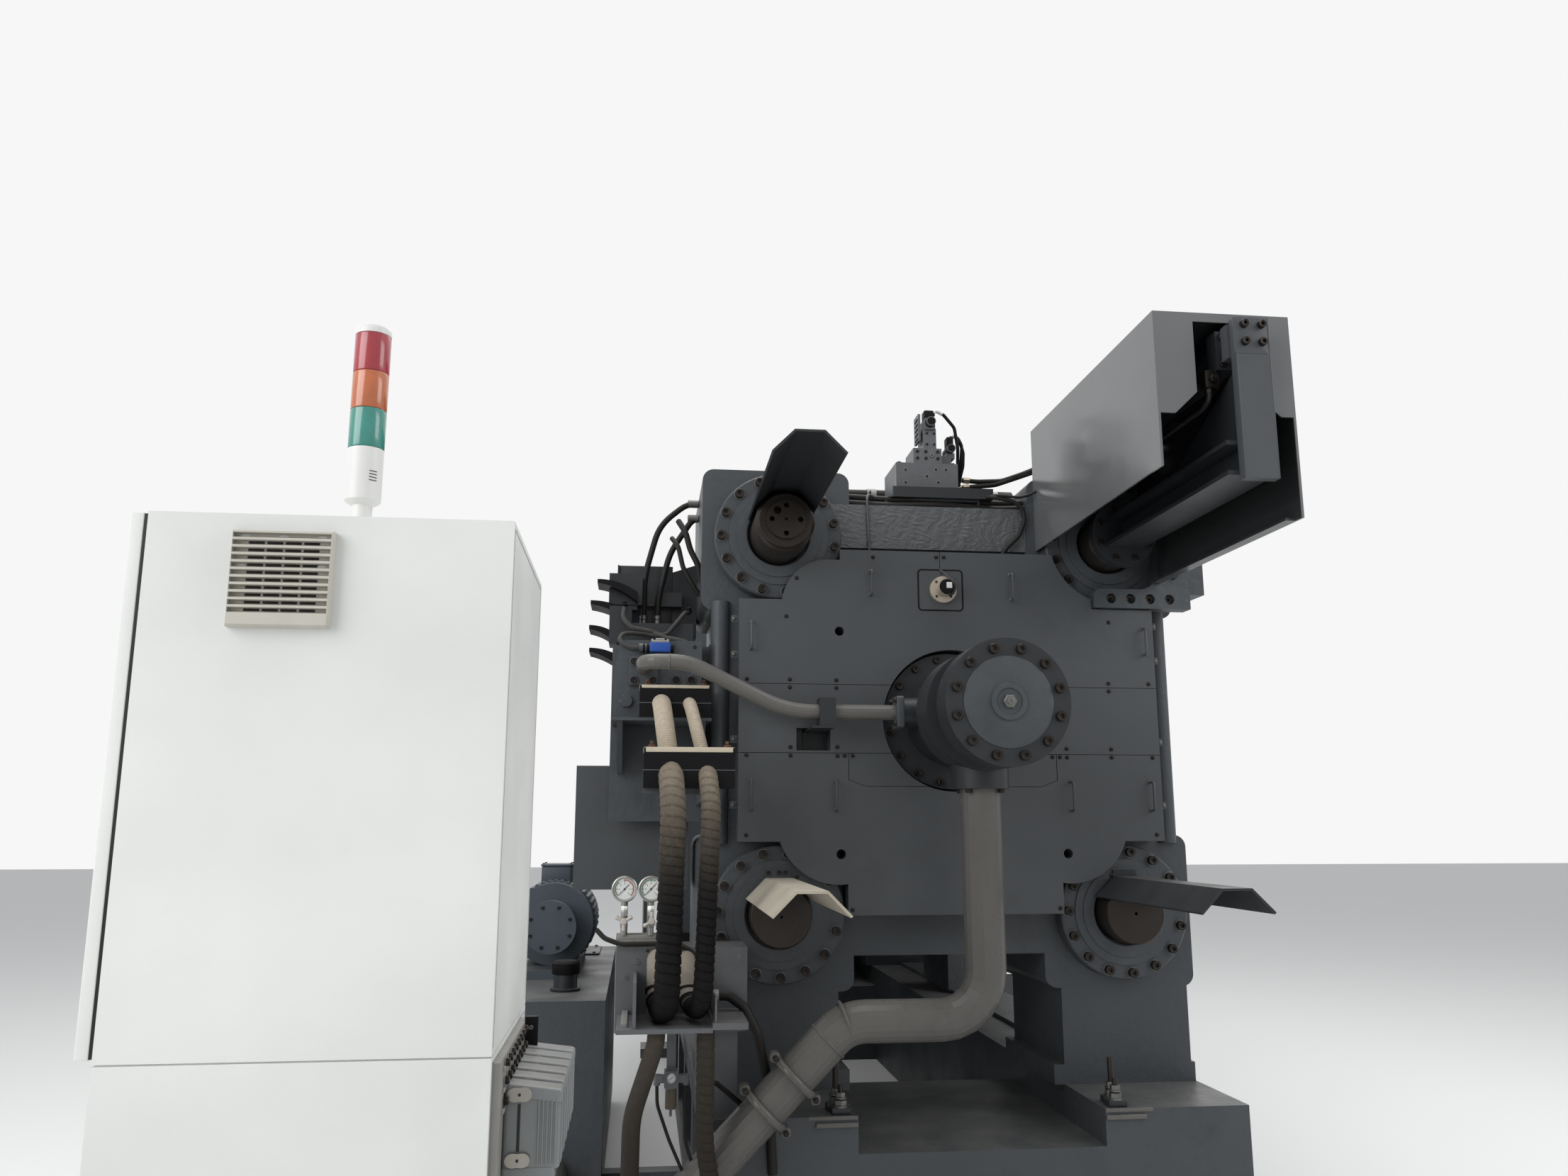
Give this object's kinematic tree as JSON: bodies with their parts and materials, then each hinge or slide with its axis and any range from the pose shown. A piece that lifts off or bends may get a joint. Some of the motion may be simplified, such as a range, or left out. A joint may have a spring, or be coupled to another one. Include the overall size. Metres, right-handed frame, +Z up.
{
  "type": "cold-chamber die casting machine",
  "caption": "Horizontal toggle die casting machine: platens on tie bars with nut rings, gear covers, a tie-bar puller, shot unit, oil tank, side valves and a separate control cabinet.",
  "frame": {"origin": "on the floor, on the centre line, below the rear face of the tail platen", "axes": "+Z up, +Y from the tail platen towards the shot end, +X to the right seen from the tail"},
  "size_m": [3.395, 9.672, 3.275],
  "materials": {
    "bottle_paint": "satin enamel",
    "cabinet_white": "powder coat",
    "chromed_rod": "polished",
    "clamp_plastic": "moulded",
    "connector_alloy": "powder coat",
    "cover_paint": "satin enamel",
    "cream_paint": "matte",
    "dark_paint": "satin enamel",
    "encoder_metal": "satin",
    "gauge_steel": "bright",
    "gloss_paint": "gloss enamel",
    "hose_rubber": "spiral wrapped",
    "machine_paint": "satin enamel with oil film",
    "motor_paint": "satin enamel",
    "oiled_steel": "dark and oily",
    "pin_steel": "machined",
    "pipe_paint": "gloss enamel",
    "tower_plastic": "moulded",
    "valve_grey": "satin",
    "vent_plastic": "moulded"
  },
  "bodies": {
    "machine": {"base_frame": "machine_paint", "tail_platen": "machine_paint", "moving_platen": "machine_paint", "fixed_platen": "machine_paint", "tie_bar_top_left": "oiled_steel", "tie_bar_bottom_left": "oiled_steel", "tie_bar_bottom_right": "oiled_steel", "nut_ring_top_left": "machine_paint", "nut_ring_top_right": "machine_paint", "nut_ring_bottom_left": "machine_paint", "nut_ring_bottom_right": "machine_paint", "front_nuts": "oiled_steel", "gear_cover_upper": "cover_paint", "gear_cover_middle": "cover_paint", "gear_cover_lower": "cover_paint", "bar_hood_top_left": "dark_paint", "bar_hood_bottom_left": "cream_paint", "bar_hood_bottom_right": "dark_paint", "puller_housing": "gloss_paint", "puller_foot": "machine_paint", "puller_cylinder": "dark_paint", "closing_cylinder": "dark_paint", "closing_rod": "chromed_rod", "toggle_rear_links": "machine_paint", "toggle_front_links": "machine_paint", "toggle_pins": "pin_steel", "crosshead": "machine_paint", "guide_rods": "chromed_rod", "top_tray": "dark_paint", "top_manifold": "valve_grey", "height_encoder": "encoder_metal", "side_bracket": "machine_paint", "valve_rack": "dark_paint", "side_manifold": "machine_paint", "closing_line": "pipe_paint", "line_clamp": "dark_paint", "hose_clamps": "clamp_plastic", "hoses": "hose_rubber", "lower_hoses": "hose_rubber", "rack_hoses": "hose_rubber", "gauge_block": "valve_grey", "pressure_gauges": "gauge_steel", "filter_regulator": "valve_grey", "side_box": "cover_paint", "return_pipe": "pipe_paint", "oil_tank": "machine_paint", "pump_motors": "motor_paint", "shot_frame": "machine_paint", "shot_cylinder": "dark_paint", "shot_rod": "chromed_rod", "pressure_bottles": "bottle_paint", "safety_doors": "cover_paint", "control_cabinet": "cabinet_white", "cabinet_vent": "vent_plastic", "cabinet_connectors": "connector_alloy", "signal_tower": "tower_plastic"},
    "puller": {"tie_bar_top_right": "oiled_steel", "puller_rod": "chromed_rod", "puller_beam": "dark_paint", "puller_arm": "cover_paint"}
  },
  "joints": [
    {"name": "puller_slide", "type": "slide", "parent": "machine", "child": "puller", "axis": [0, -1, 0], "range_m": [0, 0.95]}
  ]
}
